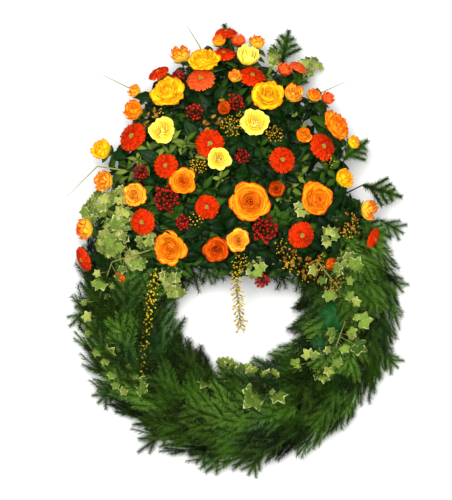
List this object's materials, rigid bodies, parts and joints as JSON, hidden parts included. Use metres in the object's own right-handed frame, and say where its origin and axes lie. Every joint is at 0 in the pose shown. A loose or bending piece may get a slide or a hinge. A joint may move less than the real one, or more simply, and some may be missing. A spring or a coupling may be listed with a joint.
{
  "type": "memorial wreath",
  "caption": "Memorial wreath: a straw ring bound with fir, with a foam-set mound of orange, red and yellow flowers, berries and ivy on one side.",
  "frame": {"origin": "under the middle of the wreath's outline, on the surface that its back lies on", "axes": "+Z out of the wreath's face, +Y from the ring towards the mound of flowers, +X to the right of the face as it is looked at"},
  "size_m": [0.7731, 1.0345, 0.3236],
  "materials": {
    "bound_straw": "straw wound with green binding tape, matte",
    "floral_foam": "wet green floral foam, matte and fine-pored",
    "fir_green": "fresh fir needles on brown twigs, satin",
    "gerbera_petal": "orange-red ray petals, soft satin",
    "rose_petal_orange": "orange rose petals with red edges, soft satin",
    "rose_petal_yellow": "yellow rose petals with orange edges, soft satin",
    "berry_red": "dark red berries, glossy",
    "seed_yellow": "small yellow buds on green stalks, matte",
    "ivy_leaf": "variegated ivy leaves, satin",
    "dark_leaf": "dark green leaves, glossy",
    "grass_blade": "thin green blades, satin"
  },
  "bodies": {
    "root": {"berries_left": "berry_red", "berries_right": "berry_red", "berries_top": "berry_red", "dark_leaves": "dark_leaf", "fir_bundle_01": "fir_green", "fir_bundle_02": "fir_green", "fir_bundle_03": "fir_green", "fir_bundle_04": "fir_green", "fir_bundle_05": "fir_green", "fir_bundle_06": "fir_green", "fir_bundle_07": "fir_green", "fir_bundle_08": "fir_green", "fir_sprigs_right": "fir_green", "fir_sprigs_top": "fir_green", "floral_foam": "floral_foam", "gerbera_crown": "gerbera_petal", "gerbera_far_left": "gerbera_petal", "gerbera_far_right": "gerbera_petal", "gerbera_heart": "gerbera_petal", "gerbera_left": "gerbera_petal", "gerbera_low_left": "gerbera_petal", "gerbera_low_right": "gerbera_petal", "gerbera_middle": "gerbera_petal", "gerbera_right": "gerbera_petal", "gerbera_rim_left": "gerbera_petal", "gerbera_rim_right": "gerbera_petal", "gerbera_shoulder_left": "gerbera_petal", "gerbera_shoulder_right": "gerbera_petal", "gerbera_top": "gerbera_petal", "gerbera_upper_left": "gerbera_petal", "gerbera_upper_right": "gerbera_petal", "grass_blades": "grass_blade", "ivy_bottom": "ivy_leaf", "ivy_left": "ivy_leaf", "ivy_right": "ivy_leaf", "rose_cream_middle": "rose_petal_yellow", "rose_lemon_left": "rose_petal_yellow", "rose_lemon_right": "rose_petal_yellow", "rose_orange_far_right": "rose_petal_orange", "rose_orange_left": "rose_petal_orange", "rose_orange_low_left": "rose_petal_orange", "rose_orange_middle": "rose_petal_orange", "rose_orange_right": "rose_petal_orange", "rose_rust_low": "rose_petal_orange", "rose_yellow_left": "rose_petal_yellow", "rose_yellow_low": "rose_petal_yellow", "rose_yellow_top": "rose_petal_yellow", "rose_yellow_upper_left": "rose_petal_yellow", "rose_yellow_upper_right": "rose_petal_yellow", "seed_spray_hanging": "seed_yellow", "seed_spray_left": "seed_yellow", "spray_roses_crown": "rose_petal_orange", "spray_roses_left": "rose_petal_orange", "spray_roses_middle": "rose_petal_orange", "spray_roses_right": "rose_petal_orange", "spray_roses_rim_left": "rose_petal_orange", "spray_roses_shoulder": "rose_petal_orange", "spray_roses_top": "rose_petal_orange", "spray_roses_upper_right": "rose_petal_orange", "straw_ring": "bound_straw"}
  },
  "joints": []
}
